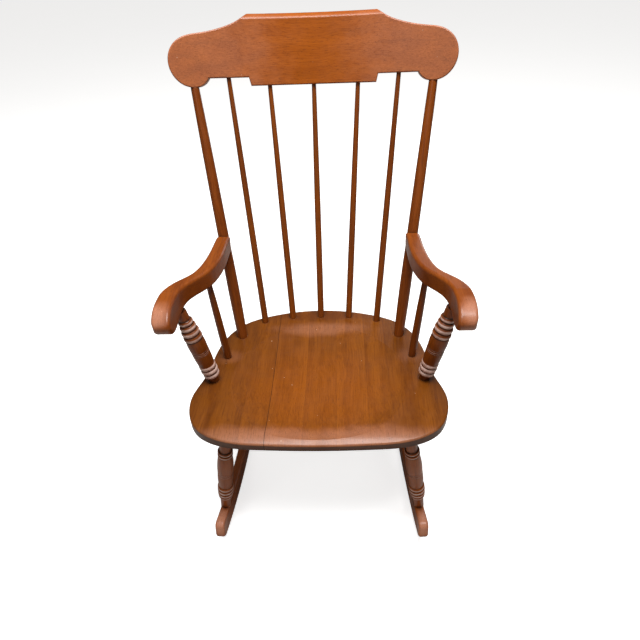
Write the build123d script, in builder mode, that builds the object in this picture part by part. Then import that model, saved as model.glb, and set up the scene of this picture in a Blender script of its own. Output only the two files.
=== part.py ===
from build123d import *
import math
import os

# Rocking chair in stained maple.  Millimetres, +Z up, the sitter faces -Y.
# The origin is on the floor, under the middle of the whole chair's bounding box.
# "left" is the -X side and "right" the +X side, as seen by someone in front of the chair.
# Heights are set with the chair at rest, balanced on the lowest point of its rockers.

# ---------------------------------------------------------------- driving dimensions

# Seat: seven boards glued edge to edge, with the grain running front to back.
SEAT_FRONT_Y = -331.0          # where the seat's top plane is SEAT_FRONT_HEIGHT high
SEAT_FRONT_HEIGHT = 397.5
SEAT_TILT = 3.4                # degrees, down towards the back
SEAT_LIP = 3.0                 # the rolled lip stands this far back from SEAT_FRONT_Y
SEAT_DEPTH = 489.0
SEAT_THICKNESS = 35.0
SEAT_JOINTS = (-166, -110, -30, 42, 114, 166)
DISH_DEPTH = 12.0
DISH_RADIUS = 208.0
DISH_LEAN = 1.2                # degrees
DISH_RIM = 7.0                 # how far the cutter reaches above the seat
DISH_CENTRE = 226.0            # distance back from SEAT_FRONT_Y
FRONT_ROLL_LENGTH = 44.0       # how far back the front edge starts to roll over
FRONT_ROLL_DROP = 11.0
SEAT_EDGE_RADIUS = 5.0
SEAT_UNDERCUT = 11.0           # chamfer all round the underside

# Crest rail: one bent board, hollow towards the sitter.
RECLINE = 14.5                 # degrees, back from vertical
CREST_BOTTOM_Y = SEAT_FRONT_Y + 595.0
CREST_BOTTOM_HEIGHT = 926.0
CREST_BEND_RADIUS = 735.0      # of the hollow front face
CREST_THICKNESS = 21.0
CREST_HEIGHT = 137.0
CREST_STEP = 17.0              # the notch over the outer spindles
CREST_BEVEL_DEPTH = 18.0
CREST_BEVEL_HEIGHT = 11.0
CREST_EDGE_RADIUS = 2.5
CREST_SWEEP = 54.0             # degrees of bend, a little more than the board uses
TRIM_MARGIN = 5.0              # how far the uncut bent board stands past its outline

# Arms: sawn to an S in plan, with a rolled hand at the front.
ARM_HEIGHT = 660.0             # top face, carried forward to the seat's front edge
ARM_REAR_Y = SEAT_FRONT_Y + 451.0
ARM_BOTTOM_HEIGHT = 603.0
ARM_BOTTOM_REAR = 594.0
HAND_FRONT_Y = SEAT_FRONT_Y + 101.0
HAND_BOTTOM_HEIGHT = 590.0
HAND_INNER_CORNER = 11.0
HAND_OUTER_CORNER = 20.0
ARM_EDGE_RADIUS = 7.0
LONG_EDGE = 60.0               # edges longer than this are rounded over
ARM_END_INSET = 10.0           # from the back post's axis to the end of the arm
ARM_REAR_CORNER = 8.0

# Rockers.
ROCKER_RADIUS = 1000.0
ROCKER_LOW_Y = -26.0           # lowest point, straight below the chair's centre of mass
ROCKER_DEPTH = 48.0
ROCKER_WIDTH = 24.0
ROCKER_TIP_RADIUS = 16.0
ROCKER_EDGE_RADIUS = 6.5
ROCKER_TOE_IN = 2.6            # degrees
ROCKER_FRONT_Y = -361.0
ROCKER_REAR_Y = 361.6
ROCKER_X = 234.5               # at the lowest point

# Turnings.
LEG_FRONT_TOP = (200.8, SEAT_FRONT_Y + 39.0)
LEG_FRONT_FOOT = (247.0, SEAT_FRONT_Y + 53.0)
LEG_REAR_TOP = (180.0, SEAT_FRONT_Y + 352.0)
LEG_REAR_FOOT = (231.5, SEAT_FRONT_Y + 402.0)
LEG_TENON = 22.0
FOOT_LET_IN = 3.0              # how deep a foot sits in the rocker's top edge
FOOT_TENON_RADIUS = 7.0
FOOT_TENON_LENGTH = 26.0
ARM_POST_FOOT = (248.6, SEAT_FRONT_Y + 202.0)
ARM_POST_HEAD = (288.5, SEAT_FRONT_Y + 198.0)
ARM_TENON = 26.0
ARM_TENON_TOP = 621.0
ARM_SPINDLE_FOOT = (230.0, SEAT_FRONT_Y + 286.0)
ARM_SPINDLE_HEAD = (245.0, SEAT_FRONT_Y + 302.0)
BACK_POST_FOOT = (206.0, SEAT_FRONT_Y + 372.0)
BACK_POST_HEAD_ARC = 262.0     # along the crest's front face from its middle
BACK_SPINDLE_FEET = ((-152, 437), (-77, 456), (0, 459.5), (77, 456), (152, 437))
BACK_SPINDLE_HEAD_ARCS = (-187, -98, 0, 98, 187)
POST_TENON_RADIUS = 6.5
SEAT_SOCKET = 22.0
CREST_SOCKET = 22.0

# Screws and pins.
SCREW_HEIGHT = 617.0            # through the back post into the end of the arm
SCREW_RADIUS = 3.0
SCREW_HEAD_RADIUS = 5.0
SCREW_LENGTH = 48.0
PLUG_RADIUS = 5.5
PLUG_LENGTH = 6.0
PLUG_PROUD = 0.6               # how far a plug stands out of the post
CREST_PIN_RADIUS = 2.2
ROCKER_PIN_RADIUS = 2.5
PIN_LENGTH = 17.0

os.makedirs("parts", exist_ok=True)

# ---------------------------------------------------------------- reference planes

tilt = math.radians(SEAT_TILT)
recline = math.radians(RECLINE)
seat_plane = Plane(
    origin=(0, SEAT_FRONT_Y, SEAT_FRONT_HEIGHT),
    x_dir=(1, 0, 0),
    z_dir=(0, math.sin(tilt), math.cos(tilt)),
)
crest_up = Vector(0, math.sin(recline), math.cos(recline))
crest_forward = Vector(0, -math.cos(recline), math.sin(recline))
crest_origin = Vector(0, CREST_BOTTOM_Y, CREST_BOTTOM_HEIGHT)
crest_plane = Plane(origin=crest_origin, x_dir=(1, 0, 0), z_dir=crest_forward)


def seat_top(y):
    """Height of the seat's flat rim at y."""
    return SEAT_FRONT_HEIGHT - math.tan(tilt) * (y - SEAT_FRONT_Y)


def rocker_bottom(y):
    """Height of the rocker's running edge at y."""
    return ROCKER_RADIUS - math.sqrt(ROCKER_RADIUS**2 - (y - ROCKER_LOW_Y) ** 2)


def crest_middle(arc, up=0.0):
    """Point in the middle of the crest's thickness, arc mm along its face from the centre."""
    angle = arc / CREST_BEND_RADIUS
    middle_radius = CREST_BEND_RADIUS + CREST_THICKNESS / 2
    sideways = Vector(middle_radius * math.sin(angle), 0, 0)
    forward = crest_forward * (CREST_BEND_RADIUS - middle_radius * math.cos(angle))
    return crest_origin + sideways + forward + crest_up * up


def along(start, end, distance):
    """Point on the line from start through end, distance mm from start."""
    return start + (end - start).normalized() * distance


def turned(foot, head, sections):
    """Turn a round piece between two points.

    Each section is (length, start radius, middle radius, end radius), from foot to head.
    A middle radius of None is a straight taper, and a length of None takes up the rest.
    """
    axis = head - foot
    across = Plane(origin=foot, z_dir=axis)
    side = (across.x_dir + across.y_dir).normalized()
    lathe = Plane(origin=foot, x_dir=side, z_dir=side.cross(axis).normalized())
    fixed = sum(section[0] for section in sections if section[0] is not None)
    with BuildPart() as turning:
        with BuildSketch(lathe):
            with BuildLine():
                at = 0.0
                corner = (0.0, 0.0)
                for length, start, middle, end in sections:
                    span = axis.length - fixed if length is None else length
                    if corner != (start, at):
                        Line(corner, (start, at))
                    if middle is None:
                        Line((start, at), (end, at + span))
                    else:
                        ThreePointArc((start, at), (middle, at + span / 2), (end, at + span))
                    at += span
                    corner = (end, at)
                Line(corner, (0.0, at))
                Line((0.0, at), (0.0, 0.0))
            make_face()
        revolve(axis=Axis(foot, axis))
    return turning.part


def mirrored(piece):
    """The same piece on the other side of the chair."""
    return mirror(piece, about=Plane.YZ)


# ---------------------------------------------------------------- rockers

toe_in = math.radians(ROCKER_TOE_IN)
rocker_plane = Plane(
    origin=(ROCKER_X, ROCKER_LOW_Y, 0),
    x_dir=(-math.sin(toe_in), math.cos(toe_in), 0),
    z_dir=(math.cos(toe_in), math.sin(toe_in), 0),
)
front_angle = math.asin((ROCKER_FRONT_Y - ROCKER_LOW_Y) / math.cos(toe_in) / ROCKER_RADIUS)
rear_angle = math.asin((ROCKER_REAR_Y - ROCKER_LOW_Y) / math.cos(toe_in) / ROCKER_RADIUS)


def rocker_point(angle, depth):
    """Point of the rocker's side view, depth mm above its running edge."""
    reach = ROCKER_RADIUS - depth
    return (reach * math.sin(angle), ROCKER_RADIUS - reach * math.cos(angle))


with BuildPart() as rocker_blank:
    with BuildSketch(rocker_plane) as rocker_side:
        with BuildLine():
            ThreePointArc(
                rocker_point(front_angle, 0), rocker_point(0, 0), rocker_point(rear_angle, 0)
            )
            Line(rocker_point(rear_angle, 0), rocker_point(rear_angle, ROCKER_DEPTH))
            ThreePointArc(
                rocker_point(rear_angle, ROCKER_DEPTH),
                rocker_point(0, ROCKER_DEPTH),
                rocker_point(front_angle, ROCKER_DEPTH),
            )
            Line(rocker_point(front_angle, ROCKER_DEPTH), rocker_point(front_angle, 0))
        make_face()
        fillet(rocker_side.vertices(), ROCKER_TIP_RADIUS)
    extrude(amount=ROCKER_WIDTH / 2, both=True)
    fillet(rocker_blank.faces().filter_by(rocker_plane).edges(), ROCKER_EDGE_RADIUS)

# ---------------------------------------------------------------- legs

LEG_SECTIONS = (
    (LEG_TENON, 11, None, 11),
    (33, 12.2, None, 13.0),
    (8, 14.5, 17, 15),
    (3, 13.2, None, 13.2),
    (8, 15, 17.2, 15.5),
    (66, 15.5, 18.6, 18.4),
    (1.6, 18.4, 17.6, 18.4),
    (3, 18.4, None, 18.4),
    (1.6, 18.4, 17.6, 18.4),
    (3, 18.4, None, 18.4),
    (1.6, 18.4, 17.6, 18.4),
    (51, 18.4, 18.2, 16.2),
    (14, 16.2, 19.2, 16.4),
    (15, 16.0, 19.4, 16.2),
    (14, 15.8, 18.8, 15.4),
    (12, 15.0, 17.4, 14.4),
    (None, 14.0, 12.7, 12.0),
    (FOOT_TENON_LENGTH, FOOT_TENON_RADIUS, None, FOOT_TENON_RADIUS),
)


def leg(top, foot):
    """A leg that hangs from the seat socket at top and stands in the rocker at foot."""
    x, y = foot
    shoulder = Vector(x, y, rocker_bottom(y) + ROCKER_DEPTH - FOOT_LET_IN)
    under_seat = Vector(top[0], top[1], seat_top(top[1]) - SEAT_THICKNESS)
    length = (shoulder - under_seat).length
    start = along(under_seat, shoulder, -LEG_TENON)
    end = along(under_seat, shoulder, length + FOOT_TENON_LENGTH)
    return turned(start, end, LEG_SECTIONS)


front_leg = leg(LEG_FRONT_TOP, LEG_FRONT_FOOT)
rear_leg = leg(LEG_REAR_TOP, LEG_REAR_FOOT)

# ---------------------------------------------------------------- arm posts and spindles

ARM_POST_SECTIONS = (
    (SEAT_SOCKET, 12, None, 12),
    (17, 12, 12.4, 13.5),
    (12, 15.5, 19.2, 17.0),
    (2, 16.4, None, 16.4),
    (12, 17.4, 20.0, 17.6),
    (2, 16.8, None, 16.8),
    (12, 17.6, 19.8, 18.0),
    (34, 18.4, 19.8, 20.2),
    (1.6, 20.2, 19.3, 20.2),
    (3, 20.2, None, 20.2),
    (1.6, 20.2, 19.3, 20.2),
    (3, 20.2, None, 20.2),
    (1.6, 20.2, 19.3, 20.2),
    (33, 20.2, 20.9, 19.8),
    (13, 18.2, 21.2, 18.4),
    (2, 17.6, None, 17.6),
    (13, 17.8, 20.4, 17.2),
    (2, 16.2, None, 16.2),
    (12, 16.2, 18.4, 15.2),
    (2, 14.2, None, 14.0),
    (11, 14.2, 16.4, 13.4),
    (None, 12.6, None, 12.0),
    (ARM_TENON, 7, None, 7),
)
ARM_SPINDLE_SECTIONS = (
    (SEAT_SOCKET, 9.0, None, 9.0),
    (None, 9.0, 8.8, 6.6),
    (ARM_TENON, 6.6, None, 6.6),
)


def between(foot, head, sections):
    """Turn a piece from its socket in the seat at foot to its socket in the arm at head."""
    on_seat = Vector(foot[0], foot[1], seat_top(foot[1]))
    top = Vector(head[0], head[1], ARM_TENON_TOP)
    return turned(along(on_seat, top, -SEAT_SOCKET), top, sections)


arm_post = between(ARM_POST_FOOT, ARM_POST_HEAD, ARM_POST_SECTIONS)
arm_spindle = between(ARM_SPINDLE_FOOT, ARM_SPINDLE_HEAD, ARM_SPINDLE_SECTIONS)

# ---------------------------------------------------------------- crest rail

bend_axis = Axis(crest_origin + crest_forward * CREST_BEND_RADIUS, crest_up)
half_sweep = math.radians(CREST_SWEEP / 2)
outwards = Vector(math.sin(half_sweep), 0, 0) - crest_forward * math.cos(half_sweep)
crest_section = Plane(
    origin=bend_axis.position,
    x_dir=outwards,
    z_dir=outwards.cross(crest_up),
)
front_face = CREST_BEND_RADIUS
back_face = CREST_BEND_RADIUS + CREST_THICKNESS
bevel_top = (front_face + CREST_BEVEL_DEPTH, CREST_HEIGHT)
bevel_foot = (front_face, CREST_HEIGHT - CREST_BEVEL_HEIGHT)

with BuildPart() as crest_blank:
    with BuildSketch(crest_section):
        with BuildLine():
            Polyline(
                bevel_foot,
                (front_face, -TRIM_MARGIN),
                (back_face, -TRIM_MARGIN),
                (back_face, CREST_HEIGHT),
                bevel_top,
            )
            TangentArc(bevel_top, bevel_foot, tangent=(-1, 0))
        make_face()
    revolve(axis=bend_axis, revolution_arc=CREST_SWEEP)
    with BuildSketch(crest_plane.offset(-2 * CREST_THICKNESS)):
        with BuildLine():
            Polyline((0, 0), (139, 0), (143, CREST_STEP), (228, CREST_STEP))
            ThreePointArc((228, CREST_STEP), (238.5, 5), (260, 0))
            Spline(
                (260, 0),
                (284, 8),
                (299, 26),
                (304, 52),
                (296, 76),
                (277, 93),
                (233, 103),
                (189, 112.5),
                (158, 124),
                (139, CREST_HEIGHT),
            )
            trim_top = CREST_HEIGHT + TRIM_MARGIN
            Polyline((139, CREST_HEIGHT), (139, trim_top), (0, trim_top))
            mirror(about=Plane.YZ)
        make_face()
    extrude(amount=CREST_BEND_RADIUS / 4, dir=crest_forward, mode=Mode.INTERSECT)
    fillet(crest_blank.edges().filter_by(GeomType.LINE, reverse=True), CREST_EDGE_RADIUS)

# ---------------------------------------------------------------- back posts and spindles

BACK_POST_SECTIONS = (
    (SEAT_SOCKET, 12.5, None, 12.5),
    (230, 12.5, 14.2, 13.2),
    (None, 13.2, 12.0, 9.2),
)
BACK_SPINDLE_SECTIONS = (
    (SEAT_SOCKET, 8.5, None, 8.5),
    (None, 8.5, 7.7, 4.9),
    (CREST_SOCKET, 4.9, None, 4.9),
)

x, y = BACK_POST_FOOT
back_post_seat = Vector(x, y, seat_top(y))
back_post_top = crest_middle(BACK_POST_HEAD_ARC, 4.0)
back_post_body = turned(
    along(back_post_seat, back_post_top, -SEAT_SOCKET), back_post_top, BACK_POST_SECTIONS
)
back_post_tenon = turned(
    along(back_post_top, back_post_seat, 40.0),
    along(back_post_top, back_post_seat, -CREST_SOCKET),
    ((None, POST_TENON_RADIUS, None, POST_TENON_RADIUS),),
)

# The post's shoulder is scribed to the crest, and its tenon goes on up into the board.
with BuildPart() as back_post:
    add(back_post_body)
    add(crest_blank.part, mode=Mode.SUBTRACT)
    back_post_main = back_post.solids().sort_by(SortBy.VOLUME)[-1]
with BuildPart() as back_post:
    add(back_post_main)
    add(back_post_tenon)

back_spindles = []
for (foot_x, foot_back), head_arc in zip(BACK_SPINDLE_FEET, BACK_SPINDLE_HEAD_ARCS):
    foot_y = SEAT_FRONT_Y + foot_back
    on_seat = Vector(foot_x, foot_y, seat_top(foot_y))
    crest_edge = CREST_STEP if abs(head_arc) > 140 else 0.0
    head = crest_middle(head_arc, crest_edge)
    back_spindles.append(
        turned(
            along(on_seat, head, -SEAT_SOCKET),
            along(head, on_seat, -CREST_SOCKET),
            BACK_SPINDLE_SECTIONS,
        )
    )

# ---------------------------------------------------------------- arms

hand_back = HAND_FRONT_Y - SEAT_FRONT_Y
rear_back = ARM_REAR_Y - SEAT_FRONT_Y


def arm_top(distance_back):
    """Height of the arm's flat top, parallel to the seat."""
    return ARM_HEIGHT - math.tan(tilt) * distance_back


def post_face(height):
    """Distance back to the plane, just inside the back post's front, where an arm ends."""
    share = (height - back_post_seat.Z) / (back_post_top.Z - back_post_seat.Z)
    post_y = back_post_seat.Y + (back_post_top.Y - back_post_seat.Y) * share
    return post_y - SEAT_FRONT_Y - ARM_END_INSET


with BuildPart() as arm_blank:
    # S shape in plan, drawn as x and the distance back from the seat's front edge.
    with BuildSketch(Plane.XY.offset(HAND_BOTTOM_HEIGHT - 20)) as arm_plan:
        with BuildLine(Location((0, SEAT_FRONT_Y, 0))):
            Spline(
                (244, rear_back),
                (246.5, 380),
                (253, 314),
                (269, 266),
                (294, 236),
                (312, 202),
                (317, 160),
                (315, hand_back),
            )
            Line((315, hand_back), (276, hand_back))
            Spline(
                (276, hand_back),
                (279, 165),
                (273, 207),
                (254, 242),
                (232, 274),
                (219, 312),
                (213, 368),
                (212, rear_back),
            )
            Line((212, rear_back), (244, rear_back))
        make_face()
        fillet(arm_plan.vertices().group_by(Axis.Y)[0].sort_by(Axis.X)[0], HAND_INNER_CORNER)
        fillet(arm_plan.vertices().group_by(Axis.Y)[0].sort_by(Axis.X)[-1], HAND_OUTER_CORNER)
    extrude(amount=120)
    # Side view: flat on top, then rolling over the front of the hand and back underneath.
    with BuildSketch(Plane.YZ.offset(190)):
        with BuildLine(Location((SEAT_FRONT_Y, 0, 0))):
            top_rear = arm_top(rear_back)
            Polyline(
                (hand_back + 134, ARM_BOTTOM_HEIGHT),
                (post_face(ARM_BOTTOM_REAR), ARM_BOTTOM_REAR),
                (post_face(top_rear), top_rear),
                (hand_back + 88, arm_top(hand_back + 88)),
            )
            Spline(
                (hand_back + 88, arm_top(hand_back + 88)),
                (hand_back + 48, arm_top(hand_back + 48) - 4),
                (hand_back + 19, arm_top(hand_back + 19) - 14),
                (hand_back + 4, ARM_BOTTOM_HEIGHT + 19),
                (hand_back + 9, ARM_BOTTOM_HEIGHT + 5),
                (hand_back + 23, HAND_BOTTOM_HEIGHT + 5),
                (hand_back + 43, HAND_BOTTOM_HEIGHT),
                (hand_back + 66, HAND_BOTTOM_HEIGHT + 1),
                (hand_back + 100, ARM_BOTTOM_HEIGHT - 4),
                (hand_back + 134, ARM_BOTTOM_HEIGHT),
            )
        make_face()
    extrude(amount=150, mode=Mode.INTERSECT)
    end_edges = arm_blank.edges().filter_by(Axis.X, reverse=True).sort_by(Axis.Y)[-2:]
    fillet(end_edges.sort_by(Axis.X)[-1], ARM_REAR_CORNER)
    fillet(arm_blank.edges().filter_by(lambda edge: edge.length > LONG_EDGE), ARM_EDGE_RADIUS)

with BuildPart() as arm:
    add(arm_blank.part)
    add(back_post_body, mode=Mode.SUBTRACT)
    add(arm_post, mode=Mode.SUBTRACT)
    add(arm_spindle, mode=Mode.SUBTRACT)

# ---------------------------------------------------------------- seat

with BuildPart() as seat:
    with BuildSketch(seat_plane):
        with BuildLine():
            Spline(
                (0, SEAT_LIP),
                (30, SEAT_LIP + 0.2),
                (120, SEAT_LIP + 3),
                (207, SEAT_LIP + 14),
                (262, SEAT_LIP + 45),
                (287, 97),
                (291, 150),
                (275, 212),
                (265, 295),
                (246, 374),
                (204, 433),
                (145, 465),
                (50, SEAT_LIP + SEAT_DEPTH - 3.2),
                (0, SEAT_LIP + SEAT_DEPTH),
            )
            mirror(about=Plane.YZ)
        make_face()
    extrude(amount=-SEAT_THICKNESS)
    # The front edge rolls over for the backs of the knees.
    with BuildSketch(Plane(origin=seat_plane.origin, x_dir=seat_plane.y_dir, z_dir=(1, 0, 0))):
        with BuildLine():
            roll_end = (-2, -FRONT_ROLL_DROP)
            Polyline(roll_end, (-2, 10), (FRONT_ROLL_LENGTH, 10), (FRONT_ROLL_LENGTH, 0))
            TangentArc((FRONT_ROLL_LENGTH, 0), roll_end, tangent=(-1, 0))
        make_face()
    extrude(amount=SEAT_DEPTH, both=True, mode=Mode.SUBTRACT)
    curved = seat.edges().filter_by(GeomType.LINE, reverse=True)
    mid_plane = seat_plane.offset(-SEAT_THICKNESS / 2)
    fillet(
        curved.filter_by(lambda edge: mid_plane.to_local_coords(edge.center()).Z > 0),
        SEAT_EDGE_RADIUS,
    )
    underside = seat.faces().filter_by(seat_plane).sort_by(Axis.Z)[0]
    chamfer(underside.edges(), SEAT_UNDERCUT)

# The dish leans back, so it is scooped steeply at the rear and runs out softly at the front.
lean = math.radians(DISH_LEAN)
dish_up = seat_plane.z_dir * math.cos(lean) - seat_plane.y_dir * math.sin(lean)
dish_back = seat_plane.y_dir * math.cos(lean) + seat_plane.z_dir * math.sin(lean)
dish_plane = Plane(
    origin=seat_plane.from_local_coords((0, DISH_CENTRE, 0)),
    x_dir=seat_plane.x_dir,
    z_dir=-dish_back,
)
with BuildPart() as dish:
    with BuildSketch(dish_plane):
        with BuildLine():
            Spline(
                (0, -DISH_DEPTH),
                (DISH_RADIUS * 0.55, -DISH_DEPTH * 0.9),
                (DISH_RADIUS * 0.84, -DISH_DEPTH * 0.48),
                (DISH_RADIUS, 0),
                (DISH_RADIUS * 1.12, DISH_RIM),
            )
            Polyline((DISH_RADIUS * 1.12, DISH_RIM), (0, DISH_RIM), (0, -DISH_DEPTH))
        make_face()
    revolve(axis=Axis(dish_plane.origin, dish_up))

# ---------------------------------------------------------------- pins and screws

post_share = (SCREW_HEIGHT - back_post_seat.Z) / (back_post_top.Z - back_post_seat.Z)
screw_crossing = back_post_seat + (back_post_top - back_post_seat) * post_share
plug_back = screw_crossing + Vector(0, BACK_POST_SECTIONS[1][3] + PLUG_PROUD, 0)
screw_back = plug_back - Vector(0, PLUG_LENGTH, 0)
arm_screw = turned(
    screw_back,
    screw_back - Vector(0, SCREW_LENGTH, 0),
    (
        (0.8, SCREW_HEAD_RADIUS, None, SCREW_HEAD_RADIUS),
        (2.6, SCREW_HEAD_RADIUS, None, SCREW_RADIUS),
        (None, SCREW_RADIUS, None, SCREW_RADIUS),
    ),
)
screw_plug = turned(
    screw_back,
    plug_back,
    ((None, PLUG_RADIUS, None, PLUG_RADIUS), (0.8, PLUG_RADIUS, None, PLUG_RADIUS - 0.8)),
)

pin_angle = BACK_POST_HEAD_ARC / CREST_BEND_RADIUS
pin_outwards = Vector(math.sin(pin_angle), 0, 0) - crest_forward * math.cos(pin_angle)
pin_middle = crest_middle(BACK_POST_HEAD_ARC, 14.0)
crest_pin_back = pin_middle + pin_outwards * CREST_THICKNESS / 2
crest_pin = turned(
    crest_pin_back - pin_outwards * PIN_LENGTH,
    crest_pin_back,
    ((None, CREST_PIN_RADIUS, None, CREST_PIN_RADIUS),),
)


def rocker_pin(foot):
    """The dowel that is driven through the rocker's outer side into a foot's tenon."""
    x, y = foot
    height = rocker_bottom(y) + ROCKER_DEPTH - FOOT_LET_IN - FOOT_TENON_LENGTH / 2
    outer_face = Vector(x, y, height) + rocker_plane.z_dir * ROCKER_WIDTH / 2
    return turned(
        outer_face - rocker_plane.z_dir * PIN_LENGTH,
        outer_face,
        ((None, ROCKER_PIN_RADIUS, None, ROCKER_PIN_RADIUS),),
    )


front_pin = rocker_pin(LEG_FRONT_FOOT)
rear_pin = rocker_pin(LEG_REAR_FOOT)

# ---------------------------------------------------------------- joinery

with BuildPart() as rocker:
    add(rocker_blank.part)
    add([front_leg, rear_leg, front_pin, rear_pin], mode=Mode.SUBTRACT)

with BuildPart() as front_leg_pinned:
    add(front_leg)
    add(front_pin, mode=Mode.SUBTRACT)

with BuildPart() as rear_leg_pinned:
    add(rear_leg)
    add(rear_pin, mode=Mode.SUBTRACT)

with BuildPart() as back_post_fitted:
    add(back_post.part)
    add([crest_pin, arm_screw, screw_plug], mode=Mode.SUBTRACT)

with BuildPart() as arm_fitted:
    add(arm.part)
    add(arm_screw, mode=Mode.SUBTRACT)

with BuildPart() as crest_rail:
    add(crest_blank.part)
    for fitted in (back_post_tenon, crest_pin):
        add([fitted, mirrored(fitted)], mode=Mode.SUBTRACT)
    add(back_spindles, mode=Mode.SUBTRACT)

with BuildPart() as seat_carved:
    add(seat.part)
    add(dish.part, mode=Mode.SUBTRACT)
    for fitted in (front_leg, rear_leg, arm_post, arm_spindle, back_post_body):
        add([fitted, mirrored(fitted)], mode=Mode.SUBTRACT)
    add(back_spindles, mode=Mode.SUBTRACT)

# ---------------------------------------------------------------- export


def save(piece, name):
    """Label a finished piece and write its STEP file."""
    piece.label = name
    export_step(piece, f"parts/{name}.step")


seat_sides = (-SEAT_DEPTH, *SEAT_JOINTS, SEAT_DEPTH)
for number, (low, high) in enumerate(zip(seat_sides, seat_sides[1:]), start=1):
    with BuildPart() as seat_board:
        add(seat_carved.part)
        with Locations(((low + high) / 2, 0, SEAT_FRONT_HEIGHT)):
            Box(high - low, 2 * SEAT_DEPTH, SEAT_FRONT_HEIGHT, mode=Mode.INTERSECT)
    save(seat_board.part, f"seat_board_{number}")

for number, spindle in enumerate(back_spindles, start=1):
    save(spindle, f"back_spindle_{number}")

paired_pieces = {
    "back_post": back_post_fitted.part,
    "arm": arm_fitted.part,
    "arm_post": arm_post,
    "arm_spindle": arm_spindle,
    "front_leg": front_leg_pinned.part,
    "rear_leg": rear_leg_pinned.part,
    "rocker": rocker.part,
}
for name, piece in paired_pieces.items():
    save(mirrored(piece), f"{name}_left")
    save(piece, f"{name}_right")

fastener_groups = {
    "arm_screws": [arm_screw],
    "arm_screw_plugs": [screw_plug],
    "crest_pins": [crest_pin],
    "rocker_pins": [front_pin, rear_pin],
}
for name, fasteners in fastener_groups.items():
    with BuildPart() as group:
        for fastener in fasteners:
            add([fastener, mirrored(fastener)])
    save(group.part, name)

save(crest_rail.part, "crest_rail")
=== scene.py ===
"""Looks of the rocking chair: stained and lacquered maple, a pale studio and its camera.

The chair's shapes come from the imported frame. This script gives every piece its finish, with
the grain running the way the timber was cut, and stages the floor, the light and the camera.
All lengths are in metres unless a name ends in _mm.
"""

import logging
import math
from dataclasses import dataclass, field
from enum import Enum

import bpy
import numpy as np
from mathutils import Matrix, Vector

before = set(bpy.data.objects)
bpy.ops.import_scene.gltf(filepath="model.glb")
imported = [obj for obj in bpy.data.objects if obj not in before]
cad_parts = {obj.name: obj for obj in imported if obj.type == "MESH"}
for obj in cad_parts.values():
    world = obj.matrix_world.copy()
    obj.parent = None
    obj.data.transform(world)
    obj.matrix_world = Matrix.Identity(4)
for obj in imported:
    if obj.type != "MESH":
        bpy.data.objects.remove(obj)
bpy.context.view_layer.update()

log = logging.getLogger("rocking_chair")

Value = float | int | tuple | bpy.types.NodeSocket
MM = 0.001
NODE_COLUMNS = 12
NODE_GAP = (220, -260)
MIX_SHARE, MIX_FIRST, MIX_SECOND, MIX_RESULT = 0, 6, 7, 2    # a Mix node's colour sockets


class GrainRun(Enum):
    """Which way a piece's grain runs, and how that direction is found."""

    SIDEWAYS = "sideways"
    FRONT_TO_BACK = "front to back"
    ALONG_TURNING = "along the turning's own axis"


def srgb(red: int, green: int, blue: int) -> tuple[float, float, float, float]:
    """Turn an 8-bit display colour into the linear colour that a shader socket takes.

    Args:
        red: Red, 0 to 255.
        green: Green, 0 to 255.
        blue: Blue, 0 to 255.

    Returns:
        The linear colour with an alpha of 1.
    """
    linear = [
        level / 12.92 if level <= 0.04045 else ((level + 0.055) / 1.055) ** 2.4
        for level in (red / 255, green / 255, blue / 255)
    ]
    return (*linear, 1.0)


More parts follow.
